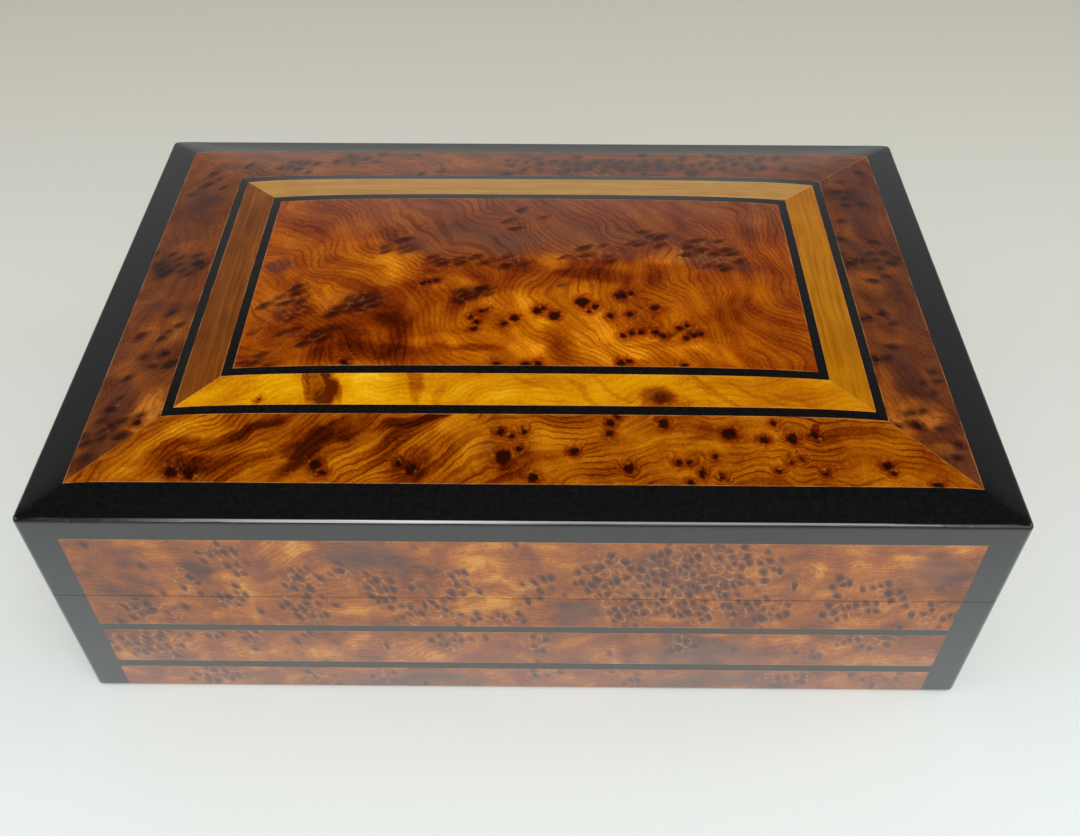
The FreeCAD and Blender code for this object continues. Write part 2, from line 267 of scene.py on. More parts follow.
@dataclass(frozen=True)
class BurlLeaf:
    """Leaf of thuya burl: nested wandering grain, red-brown shadows, knots and crowds of eyes."""

    slot: str
    plane: Plane
    seed: float
    palette: tuple[str, ...]
    tones: tuple[Patch, ...]
    dull: tuple[Patch, ...] = ()  # muted purple-brown wood; on the centre panel also painted reflection
    dull_colour: str = "#66483a"
    fields: tuple[EyeField, ...] = ()
    knots: tuple[Knot, ...] = ()
    grain_turn: float = 20.0  # degrees from the leaf's first axis
    grain_pitch: float = 2.6  # mm between dark grain lines, where the grain runs straight
    grain_depth: float = 0.55  # how dark the lines are
    bend: float = 0.0  # how fast the grain turns along the leaf, per millimetre
    swell: float = 20.0  # how many lines a swell of the grain packs into its flank
    mottle: float = 0.42  # spread of the shadows between the patches
    mottle_size: float = 20.0  # mm across a shadow
    painted_glare: tuple[float, float] = (0.0, 0.0)  # share of painted glare, above and at the foot
    glare_height: float = 52.0  # mm up the side where the painted glare starts to thicken
    eye_colour: str = "#1e0803"
    lacquer: Lacquer = Lacquer()

    def material(self) -> bpy.types.Material:
        """Builds the leaf's material.

        Returns:
            The material.
        """
        graph = Graph(bpy.data.materials.new("thuya_burl_" + self.slot))
        point = plane_point(graph, self.plane)
        flow = graph.warp(point, 30.0, 9.0, self.seed)
        flow = graph.warp(flow, 7.0, 1.6, self.seed + 3)
        core, halo = self.knot_marks(graph, point)
        colour = self.wood(graph, point, flow, halo)
        shaded = graph.add("Mix", {0: halo, "A": colour, "B": HALO_TINT}, **COLOURS, blend_type="MULTIPLY")
        for field in self.fields:
            shaded = self.eye_crowds(graph, field, point, shaded)
        if self.knots:
            specks = graph.add("TexNoise", {"Vector": point, "Scale": 1 / 1.8})
            chip = graph.add("MapRange", (specks, 0.55, 0.7, 0.0, 0.3), **SOFT)
            chip = graph.add("Math", (chip, halo), operation="MULTIPLY")
            shaded = graph.add("Mix", {0: chip, "A": shaded, "B": self.palette[-1]}, **COLOURS)
        knotted = graph.add("Mix", {0: core, "A": shaded, "B": self.eye_colour}, **COLOURS)
        lined = seams(graph, point, self.plane, knotted)
        # Painted glare: a pale tint, thickest at the foot, stands in for the bright table's glare.
        if self.painted_glare[1]:
            height = graph.add("SeparateXYZ", (point,)).node.outputs["Y"]
            share = graph.add("MapRange", (height, self.glare_height, 0.0, *self.painted_glare), **SOFT)
            lined = graph.add("Mix", {0: share, "A": lined, "B": PAINTED_GLARE_TINT}, **COLOURS)
        return self.lacquer.finish(graph, lined)

    def knot_marks(self, graph: Graph, point: Socket) -> tuple[Socket | float, Socket | float]:
        """Draws the knots that stand apart, each with a dark core and a red-brown halo.

        Args:
            graph: The material's nodes.
            point: The leaf's point.

        Returns:
            Strength of the cores and of the halos.
        """
        if not self.knots:
            return 0.0, 0.0
        ragged = graph.warp(point, 3.0, 0.9, self.seed + 7)
        past = FAR_AWAY
        for knot in self.knots:
            middle = (knot.x, knot.y, 0.0)
            away = graph.add("VectorMath", (ragged, middle), "Value", operation="DISTANCE")
            edge = graph.add("Math", (away, CORE_REACH * knot.radius), operation="SUBTRACT")
            past = graph.add("Math", (past, edge), operation="MINIMUM")
        specks = graph.add("TexNoise", {"Vector": point, "Scale": 1 / 1.3})
        chipped = graph.add("Math", (specks, 1.7, past), operation="MULTIPLY_ADD")
        core = graph.add("MapRange", (chipped, 1.15, 0.05, 0.0, 0.95), **SOFT)
        uneven = graph.add("TexNoise", {"Vector": point, "Scale": 1 / 3.5, "Detail": 3.0})
        spread = graph.add("Math", (uneven, -3.2, past), operation="MULTIPLY_ADD")
        halo = graph.add("MapRange", (spread, 1.0, -2.0, 0.0, 0.85), **SOFT)
        return core, halo

    def eye_crowds(self, graph: Graph, field: EyeField, point: Socket, colour: Socket) -> Socket:
        """Draws crowds of small eyes, each drawn out the same way, with pale lines between them.

        Args:
            graph: The material's nodes.
            field: The crowds.
            point: The leaf's point.
            colour: Colour of the wood below.

        Returns:
            Colour with the eyes on it.
        """
        stretch = {"Rotation": (0, 0, math.radians(field.turn)),
                   "Scale": (field.long_pitch, field.short_pitch, 1.0)}
        ragged = graph.warp(point, 5.0, 1.1, self.seed + 11)
        cells = graph.add("Mapping", {"Vector": ragged, **stretch}, vector_type="TEXTURE")
        spacing = {"Vector": cells, "Scale": 1.0, "Randomness": EYE_STRAY}
        eyes = graph.add("TexVoronoi", spacing, voronoi_dimensions="2D").node.outputs
        middle = graph.add("Mapping", {"Vector": eyes["Position"], **stretch}, vector_type="POINT")
        crowd = patch_sum(graph, middle, field.crowds, field.stray)
        chance = graph.add("SeparateColor", {0: eyes["Color"]}).node.outputs
        size = graph.add("MapRange", (chance[1], 0.0, 1.0, field.smallest, field.largest))
        past = graph.add("Math", (eyes["Distance"], size), operation="SUBTRACT")
        there = graph.add("Math", (chance[0], crowd), operation="LESS_THAN")
        dark = graph.add("MapRange", (past, field.softness, -field.softness, 0.0, field.strength), **SOFT)
        dark = graph.add("Math", (dark, there), operation="MULTIPLY")
        brown = graph.add("MapRange", (past, 3 * field.softness, -0.05, 0.0, 0.55), **SOFT)
        brown = graph.add("Math", (brown, there), operation="MULTIPLY")
        rim = graph.add("TexVoronoi", spacing, "Distance", voronoi_dimensions="2D",
                        feature="DISTANCE_TO_EDGE")
        squiggle = graph.add("TexNoise", {"Vector": point, "Scale": 1 / 2.2})
        squiggle = graph.add("MapRange", (squiggle, 0.42, 0.6, 0.0, field.mesh), **SOFT)
        pale = graph.add("MapRange", (rim, 0.2, 0.0, 0.0, 1.0), **SOFT)
        around = graph.add("MapRange", (crowd, 0.1, 0.7, 0.0, 1.0), **SOFT)
        broken = graph.add("Math", (around, squiggle), operation="MULTIPLY")
        pale = graph.add("Math", (pale, broken), operation="MULTIPLY")
        colour = graph.add("Mix", {0: pale, "A": colour, "B": field.mesh_colour}, **COLOURS)
        colour = graph.add("Mix", {0: brown, "A": colour, "B": self.palette[0]}, **COLOURS)
        return graph.add("Mix", {0: dark, "A": colour, "B": self.eye_colour}, **COLOURS)

    def wood(self, graph: Graph, point: Socket, flow: Socket, halo: Socket | float) -> Socket:
        """Paints the wood between the eyes.

        Args:
            graph: The material's nodes.
            point: The leaf's point.
            flow: The point pushed about, which bends grain and shadows alike.
            halo: Strength of the knots' halos, which the grain lines wrap round.

        Returns:
            Colour of the wood.
        """
        height = self.swells(graph, flow, halo)
        mottle = graph.add("TexNoise", {"Vector": flow, "Scale": 1 / self.mottle_size, "Detail": 5.0,
                                        "Roughness": 0.6})
        half = self.mottle / 2
        spread = graph.add("MapRange", (mottle, 0.3, 0.7, 0.5 - half, 0.5 + half), **SOFT)
        tone = patch_sum(graph, flow, self.tones, spread)
        rate, strength = SHADOW_BANDS
        band = graph.add("Math", (height, rate), operation="MULTIPLY")
        band = graph.add("Math", (band,), operation="SINE")
        tone = graph.add("Math", (band, strength, tone), operation="MULTIPLY_ADD")
        fleck = graph.add("TexNoise", {"Vector": flow, "Scale": 1 / 0.9, "Detail": 3.0})
        fleck = graph.add("MapRange", (fleck, 0.25, 0.75, -0.12, 0.12))
        tone = graph.add("Math", (tone, fleck), operation="ADD")
        steps = len(self.palette) - 1
        stops = tuple((number / steps, code) for number, code in enumerate(self.palette))
        base = graph.add("ValToRGB", (tone,), stops=stops)
        # Muted wood, and on the centre panel's back a painted grey reflection, mixed over the base.
        if self.dull:
            share = patch_sum(graph, flow, self.dull, 0.0)
            share = graph.add("Math", (share, DULL_LIMIT), operation="MINIMUM")
            base = graph.add("Mix", {0: share, "A": base, "B": self.dull_colour}, **COLOURS)
        dark = graph.add("Mix", {0: 1.0, "A": base, "B": GRAIN_TINT}, **COLOURS, blend_type="MULTIPLY")
        lines = self.grain(graph, point, height)
        return graph.add("Mix", {0: lines, "A": base, "B": dark}, **COLOURS)

    def swells(self, graph: Graph, flow: Socket, halo: Socket | float) -> Socket:
        """Gives the height whose contours are the grain lines: slow swells on a steady climb.

        Args:
            graph: The material's nodes.
            flow: The warped point.
            halo: Strength of the knots' halos.

        Returns:
            Height, with one grain line to each whole number.
        """
        turn = math.radians(self.grain_turn)
        across = (-math.sin(turn) / self.grain_pitch, math.cos(turn) / self.grain_pitch, 0.0)
        climb = graph.add("VectorMath", (flow, across), "Value", operation="DOT_PRODUCT")
        if self.bend:
            length = graph.add("SeparateXYZ", (flow,)).node.outputs["X"]
            turning = graph.add("Math", (length, length), operation="MULTIPLY")
            turning = graph.add("Math", (turning, self.bend / 2), operation="MULTIPLY")
            climb = graph.add("Math", (turning, 1 / self.grain_pitch, climb), operation="MULTIPLY_ADD")
        swell = graph.add("TexNoise", {"Vector": flow, "Scale": 1 / 55.0, "Detail": 1.5})
        height = graph.add("Math", (swell, self.swell, climb), operation="MULTIPLY_ADD")
        return graph.add("Math", (halo, 1.6, height), operation="MULTIPLY_ADD")

    def grain(self, graph: Graph, point: Socket, height: Socket) -> Socket:
        """Draws the grain lines, some bold and some fine, strong in places and faint in others.

        Args:
            graph: The material's nodes.
            point: The leaf's point.
            height: Height whose contours the lines follow.

        Returns:
            Strength of the dark lines.
        """
        lines = []
        for rate, start in GRAIN_LINES:
            wave = graph.add("Math", (height, rate), operation="MULTIPLY")
            wave = graph.add("Math", (wave,), operation="SINE")
            lines.append(graph.add("MapRange", (wave, start, 1.0, 0.0, 1.0), **SOFT))
        both = graph.add("Math", (lines[1], 0.5, lines[0]), operation="MULTIPLY_ADD")
        share = graph.add("TexNoise", {"Vector": point, "Scale": 1 / 16.0, "Detail": 3.0})
        share = graph.add("MapRange", (share, 0.3, 0.65, 0.2, 1.0), **SOFT)
        lines = graph.add("Math", (both, share), operation="MULTIPLY")
        return graph.add("Math", {0: lines, 1: self.grain_depth}, operation="MULTIPLY", use_clamp=True)


@dataclass(frozen=True)
class PaleStrip:
    """Strip of lemonwood: straight silky grain along its length, with a soft painted sheen across it."""

    slot: str
    seed: float
    palette: tuple[str, str, str]
    along_x: bool
    streak_run: float = 45.0  # mm
    streak_width: float = 1.5
    lacquer: Lacquer = Lacquer()

    def material(self) -> bpy.types.Material:
        """Builds the strip's material.

        Returns:
            The material.
        """
        graph = Graph(bpy.data.materials.new("lemonwood_" + self.slot))
        point = plane_point(graph, Plane.TOP)
        flow = graph.warp(point, 30.0, 1.6, self.seed)
        run = (self.streak_run, self.streak_width)
        if not self.along_x:
            run = run[::-1]
        stretched = graph.add("VectorMath", (flow, (1 / run[0], 1 / run[1], 0.0)), operation="MULTIPLY")
        fibre = graph.add("TexNoise", {"Vector": stretched, "Scale": 1.0, "Detail": 4.0, "Roughness": 0.6})
        # Painted sheen: soft light and dark patches across the grain, fixed in the colour.
        painted_sheen = graph.add("TexNoise", {"Vector": point, "Scale": 1 / 12.0, "Detail": 3.0})
        tone = graph.add("Math", (fibre, 1.5, -0.5), operation="MULTIPLY_ADD")
        tone = graph.add("Math", (painted_sheen, 0.55, tone), operation="MULTIPLY_ADD")
        colour = graph.add("ValToRGB", (tone,), stops=tuple(zip((0.1, 0.5, 0.9), self.palette)))
        return self.lacquer.finish(graph, seams(graph, point, Plane.TOP, colour))


@dataclass(frozen=True)
class BlackGloss:
    """Ebonised pearwood under the same lacquer: near black, with painted glare thickening towards its foot.
    """

    name: str
    colour: str = "#0b0b0c"
    streak: str = "#161414"
    glare_share: float = 0.07  # share of painted glare at the table, none at the lid's edge
    painted_glare: str = "#dfe8ee"
    wave: float = 0.05  # mm that the polished surface rises and falls
    lacquer: Lacquer = Lacquer(roughness=0.05, base_roughness=0.22, base_sheen=0.25)

    def material(self) -> bpy.types.Material:
        """Builds the black finish.

        Returns:
            The material.
        """
        graph = Graph(bpy.data.materials.new("ebonised_" + self.name))
        place = graph.add("TexCoord", output="Object")
        grain = graph.add("TexNoise", {"Vector": place, "Scale": 1 / (1.4 * MM), "Detail": 3.0})
        wood = graph.add("ValToRGB", (grain,), stops=((0.35, self.colour), (0.75, self.streak)))
        height = graph.add("SeparateXYZ", (place,)).node.outputs["Z"]
        # Painted glare: paler towards the table, none at the lid's edge.
        share = graph.add("MapRange", (height, LID_EDGE * MM, 0.0, 0.0, self.glare_share))
        colour = graph.add("Mix", {0: share, "A": wood, "B": self.painted_glare}, **COLOURS)
        waves = graph.add("TexNoise", {"Vector": place, "Scale": 1 / (11 * MM)})
        bump = graph.add("Bump", {"Strength": 0.25, "Distance": self.wave * MM, "Height": waves})
        return self.lacquer.finish(graph, colour, bump)


@dataclass(frozen=True)
class PlainWood:
    """Sapele boards, planed and waxed: ribbon stripe, open pores and a low sheen."""

    name: str
    dark: str
    light: str
    streak_width: float = 1.4  # mm across a streak, which runs along its wall
    streak_run: float = 60.0
    roughness: float = 0.42

    def material(self) -> bpy.types.Material:
        """Builds the waxed wood.

        Returns:
            The material.
        """
        graph = Graph(bpy.data.materials.new("sapele_" + self.name))
        place = graph.add("TexCoord", output="Object")
        parts = graph.add("SeparateXYZ", (place,)).node.outputs
        across = graph.add("Math", (parts["X"],), operation="ABSOLUTE")
        across = graph.add("Math", (across, MITRE_SHIFT * MM), operation="SUBTRACT")
        along = graph.add("Math", (parts["Y"],), operation="ABSOLUTE")
        on_end = graph.add("Math", (across, along), operation="GREATER_THAN")
        run, width = 1 / (self.streak_run * MM), 1 / (self.streak_width * MM)
        along_x = graph.add("VectorMath", (place, (run, width, width)), operation="MULTIPLY")
        along_y = graph.add("VectorMath", (place, (width, run, width)), operation="MULTIPLY")
        streaks = graph.add("Mix", {0: on_end, "A": along_x, "B": along_y}, 1, data_type="VECTOR")
        ribbon = graph.add("TexNoise", {"Vector": streaks, "Scale": 1.0, "Detail": 4.0, "Distortion": 0.3})
        pores = graph.add("TexNoise", {"Vector": streaks, "Scale": 4.0, "Detail": 2.0})
        pore = graph.add("MapRange", (pores, 0.62, 0.7, 0.0, 0.6))
        base = graph.add("ValToRGB", (ribbon,), stops=((0.3, self.dark), (0.7, self.light)))
        colour = graph.add("Mix", {0: pore, "A": base, "B": OPEN_PORE}, **COLOURS)
        bump = graph.add("Bump", {"Strength": 0.2, "Distance": 0.05 * MM, "Height": ribbon})
        return graph.surface({"Base Color": colour, "Roughness": self.roughness, "Normal": bump})


@dataclass(frozen=True)
class Felt:
    """Pressed wool felt: matted fibres about 0.3 mm apart that catch light at their tips."""

    name: str
    dark: str
    light: str

    def material(self) -> bpy.types.Material:
        """Builds the felt.

        Returns:
            The material.
        """
        graph = Graph(bpy.data.materials.new("wool_felt_" + self.name))
        place = graph.add("TexCoord", output="Object")
        fibre = graph.add("TexNoise", {"Vector": place, "Scale": 3200.0, "Detail": 3.0, "Distortion": 1.5})
        clump = graph.add("TexNoise", {"Vector": place, "Scale": 420.0, "Detail": 4.0})
        tone = graph.add("Math", (fibre, 0.9, clump), operation="MULTIPLY_ADD")
        colour = graph.add("ValToRGB", (tone,), stops=((0.55, self.dark), (1.35, self.light)))
        bump = graph.add("Bump", {"Strength": 0.7, "Distance": 0.25 * MM, "Height": tone})
        return graph.surface({"Base Color": colour, "Roughness": 0.95, "Sheen Weight": 0.08,
                              "Sheen Roughness": 0.5, "Normal": bump})


@dataclass(frozen=True)
class Brass:
    """Rolled and drawn brass, brushed along the leaf: warm metal with fine lines and dull spots."""

    name: str
    colour: str = "#d3b672"
    tarnish: str = "#b0904e"
    roughness: float = 0.26

    def material(self) -> bpy.types.Material:
        """Builds the brass.

        Returns:
            The material.
        """
        graph = Graph(bpy.data.materials.new("brushed_brass_" + self.name))
        place = graph.add("TexCoord", output="Object")
        spots = graph.add("TexNoise", {"Vector": place, "Scale": 150.0, "Detail": 3.0})
        colour = graph.add("ValToRGB", (spots,), stops=((0.4, self.colour), (0.75, self.tarnish)))
        lines = graph.add("Mapping", {"Vector": place, "Scale": (120.0, 5200.0, 5200.0)})
        brush = graph.add("TexNoise", {"Vector": lines, "Scale": 1.0, "Detail": 2.0})
        rough = graph.add("MapRange", (brush, 0.0, 1.0, self.roughness - 0.08, self.roughness + 0.12))
        bump = graph.add("Bump", {"Strength": 0.15, "Distance": 0.02 * MM, "Height": brush})
        return graph.surface({"Base Color": colour, "Metallic": 1.0, "Roughness": rough, "Normal": bump})


def plane_point(graph: Graph, plane: Plane) -> Socket:
    """Gives a leaf's own flat coordinates.

    Args:
        graph: The material's nodes.
        plane: The plane that the leaf lies in.

    Returns:
        Point in millimetres, with the third coordinate at zero.
    """
    parts = graph.add("SeparateXYZ", (graph.add("TexCoord", output="Object"),)).node.outputs
    first, second = plane.value
    flat = graph.add("CombineXYZ", {"X": parts[first], "Y": parts[second]})
    return graph.add("VectorMath", {0: flat, "Scale": 1 / MM}, operation="SCALE")


def patch_sum(graph: Graph, point: Socket, patches: tuple[Patch, ...],
              start: Socket | float) -> Socket | float:
    """Adds soft patches to a value.

    Args:
        graph: The material's nodes.
        point: Point of the leaf, in millimetres.
        patches: The patches, each with its own strength.
        start: Value before any patch.

    Returns:
        The value with each patch's strength added inside it.
    """
    total = start
    for patch in patches:
        if patch.turn:
            local = graph.add("Mapping", {"Vector": point, "Location": (patch.x, patch.y, 0),
                                          "Rotation": (0, 0, math.radians(patch.turn)),
                                          "Scale": (patch.reach_x, patch.reach_y, 1)}, vector_type="TEXTURE")
        else:
            shrink = (1 / patch.reach_x, 1 / patch.reach_y, 0.0)
            shift = (-patch.x / patch.reach_x, -patch.y / patch.reach_y, 0.0)
            local = graph.add("VectorMath", (point, shrink, shift), operation="MULTIPLY_ADD")
        length = graph.add("VectorMath", (local,), "Value", operation="LENGTH")
        inside = graph.add("MapRange", (length, *PATCH_EDGE, 0.0, 1.0), **SOFT)
        total = graph.add("Math", (inside, patch.strength, total), operation="MULTIPLY_ADD")
    return total


def seams(graph: Graph, point: Socket, plane: Plane, colour: Socket) -> Socket:
    """Draws a painted highlight where a leaf meets its neighbour: the lacquer's thin bright line.

    Args:
        graph: The material's nodes.
        point: Point of the leaf, in millimetres.
        plane: The plane that the leaf lies in.
        colour: Colour of the leaf.

    Returns:
        Colour with the lines on it.
    """
    parts = graph.add("SeparateXYZ", (point,)).node.outputs
    if plane is Plane.TOP:
        across = graph.add("Math", (parts["X"],), operation="ABSOLUTE")
        across = graph.add("Math", (across, MITRE_SHIFT), operation="SUBTRACT")
        along = graph.add("Math", (parts["Y"],), operation="ABSOLUTE")
        ring = graph.add("Math", (across, along), operation="MAXIMUM")
        lines = [(ring, place, 0.3) for place in RINGS]
        outside = graph.add("Math", (ring, RINGS[-1] + 1), operation="GREATER_THAN")
        corner = graph.add("Math", (across, along), operation="SUBTRACT")
        mitre = graph.add("Math", (outside, -100.0, corner), operation="MULTIPLY_ADD")
        lines.append((mitre, -100.0, 0.16))
    else:
        lines = [(parts["Y"], place, 0.3) for place in BANDS]
    broken = graph.add("TexNoise", {"Vector": point, "Scale": 1 / 9.0})
    broken = graph.add("MapRange", (broken, 0.35, 0.65, 0.05, 0.4), **SOFT)
    # Painted highlight on each seam, broken along its length.
    for value, place, width in lines:
        near = graph.add("Math", (value, place, width), operation="COMPARE")
        near = graph.add("Math", (near, broken), operation="MULTIPLY")
        colour = graph.add("Mix", {0: near, "A": colour, "B": PAINTED_SEAM_HIGHLIGHT}, **COLOURS)
    return colour


HIDDEN = {Plane.FACE: (135.0, 26, 40), Plane.END: (88.0, 18, 28)}  # mm to the last patch, shadows, crowds

AMBER = ("#451200", "#7a2c00", "#a04c02", "#bf6804", "#e69012")
HONEY = ("#441500", "#7a3100", "#a05404", "#c07208", "#e69a16")
RUSSET = ("#34140a", "#56260a", "#743a0e", "#924c10", "#c07424")
TAWNY = ("#5a2c14", "#804010", "#9a5008", "#b8680c", "#dc9428")
GOLD = ("#5a1e02", "#a65600", "#d08802", "#e8a808", "#f8c630")
CRIMSON = ("#340a0e", "#7c1c22")

CENTRE_PANEL = BurlLeaf(
    slot="centre_burl", plane=Plane.TOP, seed=3.0, palette=AMBER, grain_turn=-58.0, grain_depth=0.48,
    bend=0.003, mottle=0.3,
    tones=patch_rows(
        (-44, 3, 9, 8, 26), (-55, 12, 10, 8, 18), (-53, -4, 11, 5, 20), (-66, -14, 5, 6, 22),
        (-34, -27, 10, 5, 20, 65), (-25, -33, 18, 3, 20, 5), (-22, -24, 6, 5, 22), (-4, -17, 13, 6, 20),
        (1, -31, 9, 11, 30), (-8, -40, 18, 6, 16), (-88, -14, 8, 9, 14), (-28, -7, 10, 4, 30),
        (8, 5, 5, 7, 34), (10, -14, 15, 6, 22), (25, -12, 7, 6, 14), (21, -27, 15, 8, 26),
        (27, -38, 17, 10, 30), (44, -38, 12, 5, 20), (50, 8, 7, 5, 24, 20), (60, -38, 12, 3, 20, -20),
        (84, -6, 9, 8, 10), (44, -30, 18, 5, 10), (-80, -36, 14, 6, 6), (-87, 8.5, 5, 5, -30),
        (-75, -16, 6, 4, -22), (-83, -14, 2.5, 7, -20, -10), (-77, -5, 2, 6, -16, -15),
        (-59, -18, 8, 4, -24, 25), (-55, -11, 4, 5, -16), (-47, -14, 4, 6, -24, 10),
        (-46, -25, 8, 5, -10, 10), (-68, -32, 9, 4, -24, 15), (-52, -42, 20, 5, -20, 6),
        (-43, -34, 14, 4, -12, 65), (-20, -12.5, 10, 3, -34, 20), (-26, -20, 4, 6, -22, -20),
        (-20, -36, 12, 1.6, -24, -4), (-24, 15, 30, 13, -12), (-29, 5, 8, 4, -16), (-7, 5, 9, 4, -16),
        (-43, 16, 7, 5, -14), (24, -3, 16, 4.5, -26), (12, -38, 5, 11, -26, 10), (27, 8, 16, 6, -20, 15),
        (46, 19, 9, 4, -16, 10), (62, 17, 9, 5, -16), (68, 8, 13, 5, -20, -5), (50, 24, 34, 7, -8),
        (37, -27, 9, 4, -14), (46, -36, 12, 2, -20), (6, 36, 96, 16, -8), (-6, 33, 14, 8, -10),
        (78, -8, 16, 40, -10), (-64, -30, 36, 16, -24), (-5, -6, 60, 10, -14)),
    # The first patch, wide over the back of the panel, is painted reflection: the grey cast that the gloss
    # shows there.
    dull=patch_rows(
        (14, 38, 100, 20, 42), (-22, 16, 26, 9, 42), (30, 16, 46, 9, 34), (66, 8, 16, 5, 30),
        (-86, 8, 6, 5, 40), (-60, -16, 10, 5, 8), (-82, -14, 8, 7, 16)),
    fields=(EyeField(
        long_pitch=6.8, short_pitch=3.2, turn=28.0, smallest=0.05, largest=0.42, stray=0.006,
        softness=0.28, strength=0.62, mesh=0.22,
        crowds=patch_rows(
            (-80, -14, 11, 9, 60), (-59, -17, 9, 6, 70), (-45, 15, 8, 6, 80), (-27, 6, 10, 5, 80),
            (-8, 5, 8, 5, 80), (-20, -12, 9, 5, 80), (24, 11, 12, 6, 70), (46, 18, 9, 5, 70),
            (64, 16, 10, 6, 70), (68, 7, 10, 4, 80), (-85, -28, 8, 6, 50), (-74, -34, 9, 5, 50),
            (-86, -43, 9, 4, 60), (0, 30, 14, 8, 40), (-55, -44, 8, 3, 60))),),
    knots=knot_rows(
        (19, -16.3, 2.2), (23.3, -18.5, 1.3), (21, -21, 0.95), (32, -12.8, 1.7), (35.5, -11.6, 1.05),
        (3.8, -21.2, 1.5), (5.6, -19.6, 0.95), (9.6, -23.2, 1.8), (28.2, -23, 1.3), (34.5, -22.3, 1.15),
        (43.2, -18.6, 1.35), (-4, -24.6, 1.5), (-7.2, -27.3, 1.15), (-14.8, -21.3, 1.15), (-13, -20.3, 0.85),
        (-18.2, -24.2, 1.15), (-16.5, -26.6, 1.15), (-17.5, -29.6, 1.15), (32, -32.4, 1.25),
        (34.8, -31, 1.15), (38, -30.6, 1.05), (42.8, -30.5, 1.25), (45, -32.2, 1.15), (50.6, -28.4, 1.25),
        (53.2, -27, 1.05), (52.5, -32.8, 1.25), (55.5, -31.8, 1.05), (57.6, -31.3, 1.15),
        (-35.6, -6.8, 1.15), (-33.6, -6, 0.95), (-31.3, -5.3, 1.05), (31, -44.6, 1.5), (33.4, -43.8, 1.05),
        (51, -45.5, 1.25), (-9, -45.3, 1.2), (0, -46, 1.5), (4, -45, 1.2), (-58, -45, 1.15)),
)


def border(side: str, seed: float, palette: tuple[str, ...], crowds: tuple[Patch, ...] = (),
           eye_turn: float = 25.0, **figure: object) -> BurlLeaf:
    """Describes one leaf of the lid's burl border.

    Args:
        side: Side of the lid.
        seed: Shift of the leaf's noise.
        palette: Colours of the wood, from dark to light.
        crowds: Crowds of drawn-out eyes.
        eye_turn: Degrees from the leaf's first axis to the eyes' length.
        **figure: What else sets this leaf apart.

    Returns:
        The leaf.
    """
    field = EyeField(crowds=crowds, long_pitch=6.5, short_pitch=4.0, turn=eye_turn, smallest=0.14,
                     largest=0.36, stray=0.05, softness=0.2, strength=0.75, mesh=0.0)
    return BurlLeaf(slot="border_" + side, plane=Plane.TOP, seed=seed, palette=palette, mottle=0.34,
                    fields=(field,) if crowds else (), dull_colour="#4c281e", **figure)


FRONT_BORDER = border(
    "front", 11.0, HONEY, grain_turn=22.0, bend=0.0045, grain_depth=0.66, swell=11.0,
    tones=patch_rows(
        (-112, -74, 18, 5, 20, 15), (-82, -80, 12, 5, 14, 35), (-20, -78, 12, 10, 20, 30),
        (20, -74, 26, 8, 16), (70, -80, 36, 8, 12), (-116, -86, 14, 3, 14), (-50, -84, 14, 4, 14, 30),
        (-52, -78, 12, 2, 20, 35), (-30, -73, 14, 2, 16, 35), (-67, -80, 13, 3.2, -42, 58),
        (-56, -69, 14, 3.4, -40, 30), (-92, -72, 24, 2.2, -36, 22), (-101, -83, 16, 4, -36, 10),
        (-84, -85, 12, 2.4, -30, 40), (-40, -72, 16, 2.2, -32, 34), (-34, -67, 14, 2.4, -40, 8),
        (-44, -80, 10, 1.6, -26, 38), (-24, -82, 14, 1.6, -24, 32), (4, -84, 14, 3, -20, 25),
        (114, -80, 16, 9, -12), (60, -74, 16, 3, -16, -5), (45, -77, 20, 1.6, -18, 8),
        (84, -76, 16, 1.6, -20, -4), (-37, -84, 7, 5, -26), (100, -70, 14, 3, -12, 10),
        (-70, -79, 5, 4, -30), (10, -78, 130, 14, -5)),
    dull=patch_rows((-103, -86, 9, 4, 20), (-8, -80, 5, 4, 20)),
    knots=knot_rows(
        (-105.5, -86.3, 1.7), (-99.8, -87.2, 1.5), (-62.6, -83.2, 1.7), (-60, -86, 1.0), (-37.4, -82.6, 1.0),
        (-33.6, -84.6, 1.7), (-7, -71.8, 1.3), (-3.6, -73.3, 1.0), (0, -71.8, 1.1), (-6, -80.5, 2.2),
        (-1.2, -77.8, 1.1), (3, -87.3, 1.6), (15.5, -78.5, 1.4), (26.6, -68.3, 1.2), (26.2, -72.3, 1.3),
        (28.6, -65.9, 1.0), (31.8, -84, 1.4), (43, -68.4, 1.6), (47, -82, 1.1), (50.2, -82, 1.1),
        (50, -88.8, 1.2), (53.8, -85.7, 1.2), (58, -79.7, 1.0), (59.8, -87, 0.9), (62.8, -71.8, 2.0),
        (77, -67.6, 1.2), (73.3, -74, 1.4), (82, -73.3, 1.6), (89, -71.8, 1.5), (81, -81.5, 0.8),
        (84, -80, 0.8), (76.8, -84.7, 0.9), (91.3, -85.3, 1.0), (109.7, -82.3, 1.4), (111, -85, 0.9),
        (123.4, -89.3, 1.3)))

BACK_BORDER = border(
    "back", 23.0, RUSSET, grain_turn=-20.0, eye_turn=70.0,
    tones=patch_rows((-60, 78, 60, 12, 12), (60, 78, 60, 12, 2), (30, 74, 12, 8, -20)),
    crowds=patch_rows(
        (-90, 72, 12, 8, 60), (10, 76, 20, 10, 80), (36, 75, 12, 10, 80), (64, 78, 20, 10, 80),
        (90, 80, 14, 9, 80), (-40, 72, 14, 7, 50), (-66, 80, 14, 7, 50)))

